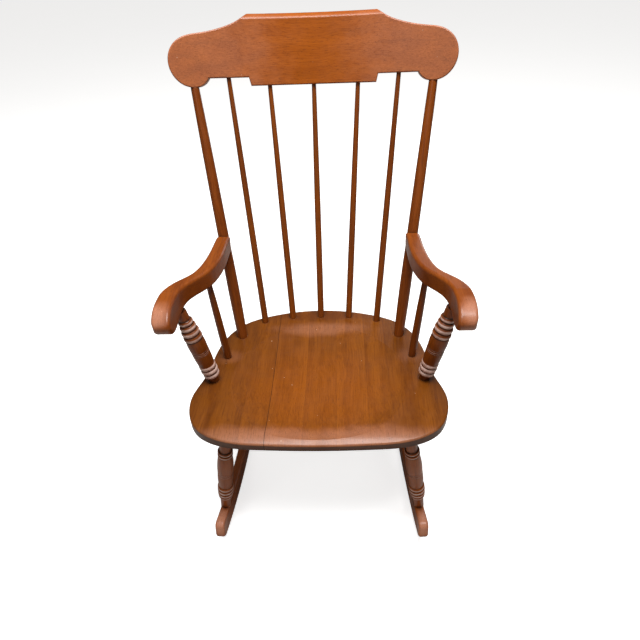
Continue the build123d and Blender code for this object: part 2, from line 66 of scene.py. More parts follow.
class Graph:
    """A node tree that is being filled in."""

    def __init__(self, tree: bpy.types.NodeTree) -> None:
        """Wrap a node tree.

        Args:
            tree: The tree to fill in.
        """
        self.tree = tree
        self.placed = 0

    def add(self, kind: str, inputs: dict | None = None, **settings: object) -> bpy.types.Node:
        """Add a node, set its properties and fill its inputs.

        Args:
            kind: The node's type, without the ShaderNode in front.
            inputs: Socket name or index to a constant or to the socket that feeds it.
            settings: The node's own properties.

        Returns:
            The new node.
        """
        name = kind if kind.startswith("Node") else f"ShaderNode{kind}"
        node = self.tree.nodes.new(name)
        row, column = divmod(self.placed, NODE_COLUMNS)
        node.location = (NODE_GAP[0] * column, NODE_GAP[1] * row)
        self.placed += 1
        for key, setting in settings.items():
            setattr(node, key, setting)
        for key, value in (inputs or {}).items():
            self.feed(node.inputs[key], value)
        return node

    def feed(self, socket: bpy.types.NodeSocket, value: Value) -> None:
        """Link a socket, or set it if the value is a constant.

        Args:
            socket: The input socket.
            value: An output socket, or a constant of the socket's own kind.
        """
        if isinstance(value, bpy.types.NodeSocket):
            self.tree.links.new(value, socket)
        else:
            socket.default_value = value

    def math(self, operation: str, *values: Value, clamp: bool = False) -> bpy.types.NodeSocket:
        """Add a Math node.

        Args:
            operation: The node's operation.
            values: Its inputs in order.
            clamp: Whether the result is held between 0 and 1.

        Returns:
            The result's socket.
        """
        node = self.add("Math", dict(enumerate(values)), operation=operation, use_clamp=clamp)
        return node.outputs[0]

    def vector(self, operation: str, *values: Value) -> bpy.types.Node:
        """Add a Vector Math node.

        Args:
            operation: The node's operation.
            values: Its inputs in order.

        Returns:
            The node, because some operations answer in Vector and some in Value.
        """
        return self.add("VectorMath", dict(enumerate(values)), operation=operation)

    def stretched(self, vector: Value, factors: tuple) -> bpy.types.NodeSocket:
        """Scale coordinates by one factor along each axis."""
        return self.vector("MULTIPLY", vector, factors).outputs[0]

    def mix(
        self, share: Value, first: Value, second: Value, blend: str = "MIX"
    ) -> bpy.types.NodeSocket:
        """Mix two colours.

        Args:
            share: How much of the second colour shows.
            first: The first colour.
            second: The second colour.
            blend: The blend mode.

        Returns:
            The mixed colour's socket.
        """
        node = self.add("Mix", data_type="RGBA", blend_type=blend)
        self.feed(node.inputs[MIX_SHARE], share)
        self.feed(node.inputs[MIX_FIRST], first)
        self.feed(node.inputs[MIX_SECOND], second)
        return node.outputs[MIX_RESULT]

    def noise(
        self, vector: Value, scale: Value, detail: float = 3.0, roughness: float = 0.5
    ) -> bpy.types.NodeSocket:
        """Add a Noise Texture.

        Args:
            vector: Where it is read.
            scale: Features per metre.
            detail: Octaves.
            roughness: Share of each finer octave.

        Returns:
            The noise's value socket.
        """
        inputs = {"Vector": vector, "Scale": scale, "Detail": detail, "Roughness": roughness}
        return self.add("TexNoise", inputs).outputs[0]

    def ramp(
        self, value: Value, low: Value, high: Value, start: float = 0.0, end: float = 1.0
    ) -> bpy.types.NodeSocket:
        """Map a value smoothly from one range to another.

        Args:
            value: The value to map.
            low: The value that gives start.
            high: The value that gives end.
            start: The result at low.
            end: The result at high.

        Returns:
            The mapped value's socket.
        """
        inputs = {
            "Value": value,
            "From Min": low,
            "From Max": high,
            "To Min": start,
            "To Max": end,
        }
        return self.add("MapRange", inputs, interpolation_type="SMOOTHSTEP").outputs[0]


def new_material(name: str) -> tuple[bpy.types.Material, Graph, bpy.types.Node]:
    """Start a material.

    Args:
        name: The material's name.

    Returns:
        The material, its graph, and the shader that is already in it.
    """
    material = bpy.data.materials.new(name)
    material.use_nodes = True
    return material, Graph(material.node_tree), material.node_tree.nodes["Principled BSDF"]


def new_group(
    name: str, inputs: dict[str, Value], outputs: dict[str, str]
) -> tuple[Graph, dict, bpy.types.Node]:
    """Start a shader node group.

    Args:
        name: The group's name.
        inputs: Input name to its default: a number, a 3-vector or a colour.
        outputs: Output name to its socket type.

    Returns:
        The graph to fill in, its input sockets by name, and its output node.
    """
    tree = bpy.data.node_groups.new(name, "ShaderNodeTree")
    for label, default in inputs.items():
        kind = "NodeSocketFloat"
        if isinstance(default, tuple):
            kind = "NodeSocketColor" if len(default) == 4 else "NodeSocketVector"
        socket = tree.interface.new_socket(label, in_out="INPUT", socket_type=kind)
        socket.default_value = default
    for label, kind in outputs.items():
        tree.interface.new_socket(label, in_out="OUTPUT", socket_type=kind)
    graph = Graph(tree)
    source = graph.add("NodeGroupInput")
    target = graph.add("NodeGroupOutput")
    return graph, {label: source.outputs[label] for label in inputs}, target


@dataclass(frozen=True)
class StainedMaple:
    """Maple under a red-brown stain and a satin lacquer."""

    light: tuple = srgb(150, 76, 18)
    middle: tuple = srgb(120, 55, 9)
    dark: tuple = srgb(68, 28, 5)
    amber: tuple = srgb(172, 88, 12)
    # Painted shade colour, for a patch of shade painted on the seat.
    painted_shade: tuple = srgb(84, 35, 12)
    # Pale wear on rubbed edges and tips; some patches also use it as painted highlight.
    wear_and_highlight: tuple = srgb(206, 142, 112)
    bead: tuple = srgb(214, 184, 172)
    # Dark of glue lines and stained grooves; the same colour also paints shade in hollows and on
    # upright and downward faces.
    grime_and_shade: tuple = srgb(38, 15, 5)
    fleck: tuple = srgb(226, 196, 170)
    coat_weight: float = 0.16
    coat_roughness: float = 0.16
    gloss: float = 0.22
    bump: float = 0.22
    bump_depth: float = 0.0004     # metres
    crevice_shade_share: float = 0.85     # how much painted shade darkens a hollow
    edge_roughness: float = 0.12   # how much rougher a rubbed edge is
    patch_streaks: float = 2.0     # how strongly the grain shows through a patch
    side_shade_facing: tuple = (0.42, 0.08)    # a face's upward share where the painted shade on upright and downward faces starts and ends


@dataclass(frozen=True)
class MapleFigure:
    """The marks in maple: scales are features per metre, shares run from 0 to 1.

    A stretch is the scale along the grain over the scale across it.
    """

    drift_scale: float = 5.0
    drift_reach: float = 0.03      # metres that the grain wanders sideways
    streak_stretch: float = 0.022
    streak_detail: float = 5.0
    streak_roughness: float = 0.62
    streak_lift: float = 0.75
    band_scale: float = 38.0
    band_roughness: float = 0.45
    band_lift: float = 0.75
    pale_range: tuple = (0.52, 1.02)
    deep_range: tuple = (0.46, 0.26)
    deep_share: float = 0.4
    ring_stretch: float = 0.06
    ring_scale: float = 9.0
    ring_count: float = 11.0
    late_wood_range: tuple = (0.34, 0.5)
    late_wood_share: float = 0.2
    pore_stretch: float = 0.07
    pore_scale: float = 1300.0
    pore_range: tuple = (0.60, 0.72)
    pore_share: float = 0.38
    curl_stretch: float = 0.22
    curl_scale: float = 62.0
    curl_range: tuple = (0.35, 0.65)
    curl_share: float = 0.12
    smudge_scale: float = 17.0
    smudge_roughness: float = 0.6
    smudge_range: tuple = (0.3, 0.7)
    satin: tuple = (0.27, 0.41)    # surface roughness where polished and where smudged
    streak_satin: float = 0.08
    streak_height: float = 0.55
    pore_depth: float = 0.6


@dataclass(frozen=True)
class WearMarks:
    """Where the finish is rubbed thin, and where painted shade darkens hollows. Lengths are in
    metres.
    """

    edge_width: float = 0.003
    edge_bend: tuple = (0.015, 0.16)
    crevice_shade_reach: float = 0.016
    crevice_shade_range: tuple = (0.86, 0.30)
    rub_scale: float = 46.0
    rub_roughness: float = 0.65
    rub_range: tuple = (0.36, 0.62)
    least_rub: float = 0.25
    ragged_scale: float = 34.0
    ragged_reach: float = 0.5
    place_fade: tuple = (1.0, 0.25)
    speck_scale: float = 95.0
    speck_size: tuple = (0.10, 0.05)
    speck_rarity: float = 0.965


@dataclass(frozen=True)
class RubbedBeads:
    """How a turning's beads are rubbed pale and its grooves hold stain."""

    bead_range: tuple = (0.36, 0.74)
    bead_share: float = 0.85
    groove_range: tuple = (0.22, 0.0)
    groove_share: float = 0.9
    rub_scale: float = 90.0
    rub_range: tuple = (0.3, 0.6)
    least_rub: float = 0.5


@dataclass(frozen=True)
class GlueLine:
    """A joint between boards, from the line's edge to its core, in metres."""

    line: tuple = (0.0011, 0.0003)
    near: tuple = (0.0070, 0.0040)


@dataclass(frozen=True)
class BrushedSteel:
    """Zinc-plated steel of the screws."""

    colour: tuple = srgb(176, 178, 182)
    shade: tuple = srgb(120, 122, 126)
    grain_scale: float = 900.0
    scratch_stretch: float = 0.1
    scratch_range: tuple = (0.3, 0.7)
    satin: tuple = (0.25, 0.5)     # surface roughness between and in the scratches
    bump: float = 0.2
    bump_depth: float = 0.0002     # metres


class Tint(Enum):
    """Which of the finish's colours a patch leans towards; one is painted shade, and the pale wear
    colour also serves as painted highlight.
    """

    AMBER = "amber"
    PAINTED_SHADE = "painted_shade"
    WEAR_AND_HIGHLIGHT = "wear_and_highlight"


@dataclass(frozen=True)
class Patch:
    """A soft patch of another colour, the same on both sides of the chair; some patches are painted
    shade and painted highlight.
    """

    centre: tuple
    size: tuple
    tint: Tint
    share: float


@dataclass(frozen=True)
class WoodPiece:
    """How one piece of timber is dressed."""

    grain: GrainRun
    tone: float = 0.0              # lighter above 0, darker below
    warmth: float = 0.5            # 0.5 leaves the hue, lower is redder
    figure: float = 1.0            # strength of the growth rings
    grain_scale: float = 480.0     # streaks per metre across the grain
    wear: float = 0.6
    patches: tuple = ()
    rings: tuple = ()              # along a turning: pairs of distance in mm and paleness
    rings_from_top: bool = False
    joints_mm: tuple = ()          # glue lines: pairs of distance from the middle and strength
    flecks: float = 0.0
    side_face_shade: float = 0.0          # painted shade: how much darker the upright and downward faces are made


class Effects:
    """The shader node groups that every wooden piece shares."""

    def __init__(self) -> None:
        """Build each group once."""
        self.grain = self.build_grain()
        self.wear = self.build_wear_and_crevice_shade()
        self.place = self.build_place()
        self.dust = self.build_dust()

    def build_grain(self) -> bpy.types.NodeTree:
        """Build the grain of maple: streaks, growth rings, flecks and a faint curl.

        Returns:
            A group that reads a vector whose X runs along the grain.
        """
        maple = StainedMaple()
        marks = MapleFigure()
        colours = {"Light": maple.light, "Middle": maple.middle, "Dark": maple.dark}
        graph, given, target = new_group(
            "maple_grain",
            {"Vector": (0.0, 0.0, 0.0), "Grain Scale": 480.0, "Figure": 1.0, **colours},
            {
                "Color": "NodeSocketColor",
                "Roughness": "NodeSocketFloat",
                "Height": "NodeSocketFloat",
            },
        )
        at = given["Vector"]
        drift = graph.noise(at, marks.drift_scale, 2.0)
        drift_by = graph.math("MULTIPLY", graph.math("SUBTRACT", drift, 0.5), marks.drift_reach)
        sideways = graph.add("CombineXYZ", {"Y": drift_by, "Z": drift_by}).outputs[0]
        wavy = graph.vector("ADD", at, sideways).outputs[0]
        long_grain = graph.stretched(wavy, (marks.streak_stretch, 1.0, 1.0))
        streaks = graph.noise(
            long_grain, given["Grain Scale"], marks.streak_detail, marks.streak_roughness
        )
        bands = graph.noise(long_grain, marks.band_scale, 2.0, marks.band_roughness)
        ring_grain = graph.stretched(wavy, (marks.ring_stretch, 1.0, 1.0))
        ring_field = graph.noise(ring_grain, marks.ring_scale, 1.0)
        rings = graph.math("PINGPONG", graph.math("MULTIPLY", ring_field, marks.ring_count), 0.5)
        late_wood = graph.ramp(rings, *marks.late_wood_range)
        pore_grain = graph.stretched(at, (marks.pore_stretch, 1.0, 1.0))
        pores = graph.noise(pore_grain, marks.pore_scale, 2.0)
        pore_mask = graph.ramp(pores, *marks.pore_range)
        curl_grain = graph.stretched(at, (1.0, marks.curl_stretch, marks.curl_stretch))
        curl = graph.noise(curl_grain, marks.curl_scale, 1.0)

        streak_lift = graph.math("MULTIPLY", streaks, marks.streak_lift)
        band_lift = graph.math("MULTIPLY", bands, marks.band_lift)
        pale = graph.ramp(graph.math("ADD", streak_lift, band_lift), *marks.pale_range)
        colour = graph.mix(pale, given["Middle"], given["Light"])
        deep = graph.ramp(streaks, *marks.deep_range)
        colour = graph.mix(graph.math("MULTIPLY", deep, marks.deep_share), colour, given["Dark"])
        late_share = graph.math("MULTIPLY", late_wood, marks.late_wood_share)
        ring_share = graph.math("MULTIPLY", late_share, given["Figure"])
        colour = graph.mix(ring_share, colour, given["Dark"])
        pore_share = graph.math("MULTIPLY", pore_mask, marks.pore_share)
        colour = graph.mix(pore_share, colour, given["Dark"])
        curl_share = graph.ramp(curl, *marks.curl_range, 0.0, marks.curl_share)
        colour = graph.mix(curl_share, colour, given["Light"])
        graph.feed(target.inputs["Color"], colour)

        smudge = graph.noise(at, marks.smudge_scale, 3.0, marks.smudge_roughness)
        satin = graph.ramp(smudge, *marks.smudge_range, *marks.satin)
        streak_satin = graph.math("MULTIPLY", streaks, marks.streak_satin)
        graph.feed(target.inputs["Roughness"], graph.math("ADD", satin, streak_satin))
        streak_height = graph.math("MULTIPLY", streaks, marks.streak_height)
        pore_depth = graph.math("MULTIPLY", pore_mask, marks.pore_depth)
        height = graph.math("SUBTRACT", streak_height, pore_depth)
        graph.feed(target.inputs["Height"], height)
        return graph.tree

    def build_wear_and_crevice_shade(self) -> bpy.types.NodeTree:
        """Build the masks that follow a piece's own edges and hollows.

        Returns:
            A group that puts out two masks: where the finish is rubbed thin at edges, and painted
                shade in hollows and between parts.
        """
        marks = WearMarks()
        graph, given, target = new_group(
            "edge_wear_and_crevice_shade",
            {
                "Vector": (0.0, 0.0, 0.0),
                "Edge Width": marks.edge_width,
                "Crevice Shade Reach": marks.crevice_shade_reach,
            },
            {"Edge": "NodeSocketFloat", "Crevice Shade": "NodeSocketFloat"},
        )
        rounded = graph.add("Bevel", {"Radius": given["Edge Width"]}, samples=6).outputs[0]
        facing = graph.add("NewGeometry").outputs["Normal"]
        likeness = graph.vector("DOT_PRODUCT", rounded, facing).outputs["Value"]
        bend = graph.math("SUBTRACT", 1.0, likeness)
        rubs = graph.noise(given["Vector"], marks.rub_scale, 4.0, marks.rub_roughness)
        patchy = graph.ramp(rubs, *marks.rub_range, marks.least_rub, 1.0)
        edge = graph.math("MULTIPLY", graph.ramp(bend, *marks.edge_bend), patchy)
        # Painted shade: ambient occlusion darkens hollows, sockets and the joints between parts.
        openness = graph.add("AmbientOcclusion", {"Distance": given["Crevice Shade Reach"]}, samples=8)
        crevice_shade = graph.ramp(openness.outputs["AO"], *marks.crevice_shade_range)
        open_edge = graph.math("MULTIPLY", edge, graph.math("SUBTRACT", 1.0, crevice_shade, clamp=True))
        graph.feed(target.inputs["Edge"], open_edge)
        graph.feed(target.inputs["Crevice Shade"], crevice_shade)
        return graph.tree

    def build_place(self) -> bpy.types.NodeTree:
        """Build a soft egg-shaped mask about a point, the same on both sides of the chair.

        Returns:
            A group that puts out Mask, 1 at the centre and 0 outside.
        """
        marks = WearMarks()
        graph, given, target = new_group(
            "handled_place",
            {"Vector": (0.0, 0.0, 0.0), "Centre": (0.0, 0.0, 0.0), "Size": (0.1, 0.1, 0.1)},
            {"Mask": "NodeSocketFloat"},
        )
        parts = graph.add("SeparateXYZ", {0: given["Vector"]})
        outwards = graph.math("ABSOLUTE", parts.outputs[0])
        folded = graph.add(
            "CombineXYZ", {"X": outwards, "Y": parts.outputs[1], "Z": parts.outputs[2]}
        )
        offset = graph.vector("SUBTRACT", folded.outputs[0], given["Centre"]).outputs[0]
        scaled = graph.vector("DIVIDE", offset, given["Size"]).outputs[0]
        reach = graph.vector("LENGTH", scaled).outputs["Value"]
        raggedness = graph.noise(given["Vector"], marks.ragged_scale, 4.0)
        centred = graph.math("SUBTRACT", raggedness, 0.5)
        ragged = graph.math("MULTIPLY", centred, marks.ragged_reach)
        mask = graph.ramp(graph.math("ADD", reach, ragged), *marks.place_fade)
        graph.feed(target.inputs["Mask"], mask)
        return graph.tree

    def build_dust(self) -> bpy.types.NodeTree:
        """Build tiny pale specks, few and far between.

        Returns:
            A group that puts out Mask.
        """
        marks = WearMarks()
        graph, given, target = new_group(
            "pale_specks", {"Vector": (0.0, 0.0, 0.0), "Amount": 0.5}, {"Mask": "NodeSocketFloat"}
        )
        cells = graph.add("TexVoronoi", {"Vector": given["Vector"], "Scale": marks.speck_scale})
        spot = graph.ramp(cells.outputs["Distance"], *marks.speck_size)
        chosen = graph.add("SeparateColor", {0: cells.outputs["Color"]}).outputs[0]
        rare = graph.math("GREATER_THAN", chosen, marks.speck_rarity)
        graph.feed(
            target.inputs["Mask"],
            graph.math("MULTIPLY", graph.math("MULTIPLY", spot, rare), given["Amount"]),
        )
        return graph.tree


def node_points(node: str) -> np.ndarray:
    """Read a CAD node's points.

    Args:
        node: The node's name.

    Returns:
        An array of points, one row each.
    """
    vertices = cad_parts[node].data.vertices
    points = np.empty(len(vertices) * 3)
    vertices.foreach_get("co", points)
    return points.reshape(-1, 3)


def turning_ends(node: str) -> tuple[Vector, Vector]:
    """Find the middle of each end of a turned piece.

    Args:
        node: The CAD node's name.

    Returns:
        The lower end and the upper end.
    """
    points = node_points(node)
    centred = points - points.mean(axis=0)
    axis = np.linalg.eigh(centred.T @ centred)[1][:, 2]
    axis = axis if axis[2] > 0 else -axis
    along = centred @ axis
    low = points[along < along.min() + MM]
    high = points[along > along.max() - MM]
    return (
        Vector((low.max(axis=0) + low.min(axis=0)) / 2),
        Vector((high.max(axis=0) + high.min(axis=0)) / 2),
    )


class Timber:
    """Dresses CAD nodes in stained maple."""

    plank_step: tuple = (1.37, 0.61, 0.83)    # metres from one piece's plank to the next

    def __init__(self, effects: Effects, maple: StainedMaple) -> None:
        """Keep what every piece shares.

        Args:
            effects: The shared node groups.
            maple: The finish.
        """
        self.effects = effects
        self.maple = maple
        self.count = 0

    def group(self, graph: Graph, tree: bpy.types.NodeTree, inputs: dict) -> bpy.types.Node:
        """Place a shared group in a material.

        Args:
            graph: The material's graph.
            tree: The group.
            inputs: Its inputs.

        Returns:
            The group's node.
        """
        node = graph.add("Group", node_tree=tree)
        for key, value in inputs.items():
            graph.feed(node.inputs[key], value)
        return node

    def grain_vector(
        self, graph: Graph, at: bpy.types.NodeSocket, node: str, grain: GrainRun
    ) -> bpy.types.NodeSocket:
        """Turn coordinates so that X runs along the grain, each piece from its own plank.

        Args:
            graph: The material's graph.
            at: Object coordinates.
            node: The CAD node.
            grain: Which way its grain runs.

        Returns:
            The turned coordinates.
        """
        direction = Vector((1.0, 0.0, 0.0))
        if grain is GrainRun.FRONT_TO_BACK:
            direction = Vector((0.0, 1.0, 0.0))
        if grain is GrainRun.ALONG_TURNING:
            foot, head = turning_ends(node)
            direction = (head - foot).normalized()
        turn = direction.rotation_difference(Vector((1.0, 0.0, 0.0))).to_euler("XYZ")
        plank = Vector(self.plank_step) * self.count
        inputs = {"Vector": at, "Location": tuple(plank), "Rotation": tuple(turn)}
        return graph.add("Mapping", inputs).outputs[0]

    def ring_paleness(
        self, graph: Graph, at: bpy.types.NodeSocket, node: str, piece: WoodPiece
    ) -> bpy.types.NodeSocket:
        """Colour a turning along its length: 0 where stain gathers in a groove, 1 on a bead.

        Args:
            graph: The material's graph.
            at: Object coordinates.
            node: The CAD node.
            piece: How it is dressed.

        Returns:
            The paleness, about 0.3 where the turning is plain.
        """
        foot, head = turning_ends(node)
        start, end = (head, foot) if piece.rings_from_top else (foot, head)
        axis = (end - start).normalized()
        offset = graph.vector("SUBTRACT", at, tuple(start)).outputs[0]
        distance = graph.vector("DOT_PRODUCT", offset, tuple(axis)).outputs["Value"]
        length = (end - start).length
        share = graph.math("DIVIDE", distance, length)
        ramp = graph.add("ValToRGB", {0: share})
        stops = [(place * MM / length, pale) for place, pale in piece.rings]
        for stop in ramp.color_ramp.elements[1:]:
            ramp.color_ramp.elements.remove(stop)
        ramp.color_ramp.elements[0].position = stops[0][0]
        ramp.color_ramp.elements[0].color = (*[stops[0][1]] * 3, 1.0)
        for place, pale in stops[1:]:
            stop = ramp.color_ramp.elements.new(place)
            stop.color = (pale, pale, pale, 1.0)
        return ramp.outputs[0]

    def glue_lines(
        self, graph: Graph, at: bpy.types.NodeSocket, joints_mm: tuple
    ) -> tuple[bpy.types.NodeSocket, bpy.types.NodeSocket]:
        """Mask the thin dark lines where boards meet.

        Args:
            graph: The material's graph.
            at: Object coordinates.
            joints_mm: Distance of each joint from the middle, and its strength.

        Returns:
            The mask of the lines, and a wider one of everything close to them.
        """
        across = graph.add("SeparateXYZ", {0: at}).outputs[0]
        glue = GlueLine()
        line = near = 0.0
        for joint, strength in joints_mm:
            gap = graph.math("ABSOLUTE", graph.math("SUBTRACT", across, joint * MM))
            line = graph.math("MAXIMUM", line, graph.ramp(gap, *glue.line, 0.0, strength))
            near = graph.math("MAXIMUM", near, graph.ramp(gap, *glue.near))
        return line, near

    def dress(self, node: str, piece: WoodPiece) -> None:
        """Give a CAD node its own plank of stained maple.

        Args:
            node: The CAD node.
            piece: How it is dressed.
        """
        self.count += 1
        material, graph, shader = new_material(f"maple_{node}")
        maple = self.maple
        at = graph.add("TexCoord").outputs["Object"]
        grain_at = self.grain_vector(graph, at, node, piece.grain)
        grain = self.group(
            graph,
            self.effects.grain,
            {
                "Vector": grain_at,
                "Grain Scale": piece.grain_scale,
                "Figure": piece.figure,
                "Light": maple.light,
                "Middle": maple.middle,
                "Dark": maple.dark,
            },
        )
        wear = self.group(graph, self.effects.wear, {"Vector": grain_at})
        toned = graph.add(
            "HueSaturation",
            {"Hue": piece.warmth, "Value": 1.0 + piece.tone, "Color": grain.outputs["Color"]},
        )
        colour = toned.outputs[0]
        roughness = grain.outputs["Roughness"]
        streak = grain.outputs["Height"]
        if piece.rings:
            beads = RubbedBeads()
            pale = self.ring_paleness(graph, at, node, piece)
            crest = graph.ramp(pale, *beads.bead_range, 0.0, beads.bead_share)
            groove = graph.ramp(pale, *beads.groove_range, 0.0, beads.groove_share)
            rubs = graph.noise(at, beads.rub_scale, 3.0)
            patchy = graph.ramp(rubs, *beads.rub_range, beads.least_rub, 1.0)
            colour = graph.mix(graph.math("MULTIPLY", crest, patchy), colour, maple.bead)
            colour = graph.mix(groove, colour, maple.grime_and_shade)
        # Patches tint the colour: some are stain and wear, others are painted shade and painted
        # highlight.
        for patch in piece.patches:
            inputs = {"Vector": at, "Centre": patch.centre, "Size": patch.size}
            place = self.group(graph, self.effects.place, inputs).outputs[0]
            tint = getattr(maple, patch.tint.value)
            streaky = graph.math("MULTIPLY", streak, maple.patch_streaks)
            soft = graph.mix(0.5, graph.mix(1.0, tint, streaky, "MULTIPLY"), tint)
            colour = graph.mix(graph.math("MULTIPLY", place, patch.share), colour, soft)
        edge = wear.outputs["Edge"]
        if piece.joints_mm:
            glue, near_joint = self.glue_lines(graph, at, piece.joints_mm)
            colour = graph.mix(glue, colour, maple.grime_and_shade)
            edge = graph.math("MULTIPLY", edge, graph.math("SUBTRACT", 1.0, near_joint))
        # Painted shade from the ambient occlusion mask, mixed into the colour.
        crevice_darkening = graph.math("MULTIPLY", wear.outputs["Crevice Shade"], maple.crevice_shade_share)
        colour = graph.mix(crevice_darkening, colour, maple.grime_and_shade)
        colour = graph.mix(graph.math("MULTIPLY", edge, piece.wear), colour, maple.wear_and_highlight)
        # Painted shade: faces that turn sideways or down are darkened as if out of the light.
        if piece.side_face_shade:
            facing = graph.add("SeparateXYZ", {0: graph.add("NewGeometry").outputs["Normal"]})
            side_shade = graph.ramp(facing.outputs[2], *maple.side_shade_facing, 0.0, piece.side_face_shade)
            colour = graph.mix(side_shade, colour, maple.grime_and_shade)
        if piece.flecks:
            specks = self.group(graph, self.effects.dust, {"Vector": at, "Amount": piece.flecks})
            colour = graph.mix(specks.outputs[0], colour, maple.fleck)
        rough_edge = graph.math("MULTIPLY", edge, maple.edge_roughness)
        graph.feed(shader.inputs["Base Color"], colour)
        graph.feed(shader.inputs["Roughness"], graph.math("ADD", roughness, rough_edge))
        relief = {"Strength": maple.bump, "Distance": maple.bump_depth, "Height": streak}
        bump = graph.add("Bump", relief)
        graph.feed(shader.inputs["Normal"], bump.outputs[0])
        shader.inputs["Specular IOR Level"].default_value = maple.gloss
        shader.inputs["Coat Weight"].default_value = maple.coat_weight
        shader.inputs["Coat Roughness"].default_value = maple.coat_roughness
        give_material(node, material)
        log.info("%s: maple, grain %s", node, piece.grain.value)


def give_material(node: str, material: bpy.types.Material) -> None:
    """Put one material on a CAD node.

    Args:
        node: The CAD node.
        material: Its material.
    """
    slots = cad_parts[node].data.materials
    slots.clear()
    slots.append(material)


@dataclass
class Seat:
    """The dished seat of seven boards."""

    tones: tuple = (-0.40, -0.34, -0.24, -0.30, -0.25, -0.32, -0.36)
    joints_mm: tuple = ((-166, 0.12), (-110, 0.8), (-30, 0.14), (42, 0.12), (114, 0.15), (166, 0.1))
    patches: tuple = (
        Patch((0.0, -0.16, 0.385), (0.24, 0.20, 0.10), Tint.AMBER, 0.3),
        # Painted shade: a dark band near the back of the dish, behind its pale crescent.
        Patch((0.0, 0.130, 0.370), (0.24, 0.034, 0.040), Tint.PAINTED_SHADE, 0.45),
        # Painted highlight: a pale crescent on the dish's rear slope.
        Patch((0.0, 0.072, 0.370), (0.17, 0.036, 0.040), Tint.WEAR_AND_HIGHLIGHT, 0.26),
        # Painted highlight along the rolled front lip.
        Patch((0.10, -0.312, 0.390), (0.26, 0.050, 0.020), Tint.WEAR_AND_HIGHLIGHT, 0.38),
        # Pale patch round the arm spindle socket: wear, and partly a painted highlight.
        Patch((0.225, -0.045, 0.380), (0.045, 0.035, 0.030), Tint.WEAR_AND_HIGHLIGHT, 0.14),
    )

    def dress(self, timber: Timber) -> None:
        """Dress each board from its own plank.

        Args:
            timber: What dresses a piece in maple.
        """
        for number, tone in enumerate(self.tones, start=1):
            piece = WoodPiece(
                GrainRun.FRONT_TO_BACK,
                tone=tone,
                figure=0.75,
                grain_scale=430.0,
                joints_mm=self.joints_mm,
                patches=self.patches,
                flecks=0.8,
                side_face_shade=0.75,
                warmth=0.508,
                wear=0.3,
            )
            timber.dress(f"seat_board_{number}", piece)


@dataclass
class Back:
    """The crest rail, its posts and the spindles between them."""

    crest_patches: tuple = (
        Patch((0.0, 0.28, 0.985), (0.15, 0.25, 0.16), Tint.AMBER, 0.5),
        Patch((0.25, 0.24, 0.990), (0.24, 0.20, 0.17), Tint.WEAR_AND_HIGHLIGHT, 0.30),
    )
    spindle_tones: tuple = (-0.30, -0.22, -0.28, -0.20, -0.26)

    def dress(self, timber: Timber) -> None:
        """Dress the crest rail sideways and the rest along their lengths.

        Args:
            timber: What dresses a piece in maple.
        """
        timber.dress(
            "crest_rail",
            WoodPiece(
                GrainRun.SIDEWAYS, tone=0.14, figure=0.9, patches=self.crest_patches, flecks=0.5
            ),
        )
        for side in ("left", "right"):
            post = WoodPiece(GrainRun.ALONG_TURNING, tone=-0.2, wear=0.3)
            timber.dress(f"back_post_{side}", post)
        for number, tone in enumerate(self.spindle_tones, start=1):
            spindle = WoodPiece(GrainRun.ALONG_TURNING, tone=tone, wear=0.2)
            timber.dress(f"back_spindle_{number}", spindle)


@dataclass
class Arms:
    """The two arms with their turned posts and plain spindles."""

    # The hand's pale patch: wear, and partly a painted highlight on its rolled front.
    hand_wear_and_highlight: tuple = (Patch((0.306, -0.206, 0.640), (0.034, 0.050, 0.040), Tint.WEAR_AND_HIGHLIGHT, 0.6),)
    socket_mm: float = 22.0
    post_rings: tuple = (
        (0, 0.2), (14, 0.3), (17, 0.0), (20, 1.0), (27, 1.0), (30, 0.0), (33, 1.0), (41, 1.0),
        (44, 0.0), (47, 1.0), (54, 0.9), (57, 0.2), (91, 0.3), (91.8, 1.0), (93.5, 0.25),
        (95.6, 0.25), (96.4, 1.0), (98.2, 0.25), (100.2, 0.25), (101, 1.0), (102.5, 0.3),
        (132, 0.3), (135, 0.0), (138, 1.0), (148.8, 0.05), (156.3, 1.0), (163.8, 0.05),
        (170.8, 1.0), (177.8, 0.0), (184.3, 0.9), (190, 0.0), (196, 0.25),
    )

    def dress(self, timber: Timber) -> None:
        """Dress both arms and what holds them up.

        Args:
            timber: What dresses a piece in maple.
        """
        rings = tuple((place + self.socket_mm, pale) for place, pale in self.post_rings)
        for side in ("left", "right"):
            arm = WoodPiece(
                GrainRun.FRONT_TO_BACK,
                tone=-0.18,
                figure=0.9,
                wear=0.7,
                patches=self.hand_wear_and_highlight,
                flecks=0.4,
            )
            timber.dress(f"arm_{side}", arm)
            post = WoodPiece(
                GrainRun.ALONG_TURNING, tone=-0.32, figure=0.5, wear=0.2, rings=rings
            )
            timber.dress(f"arm_post_{side}", post)
            spindle = WoodPiece(GrainRun.ALONG_TURNING, tone=-0.30, wear=0.2)
            timber.dress(f"arm_spindle_{side}", spindle)


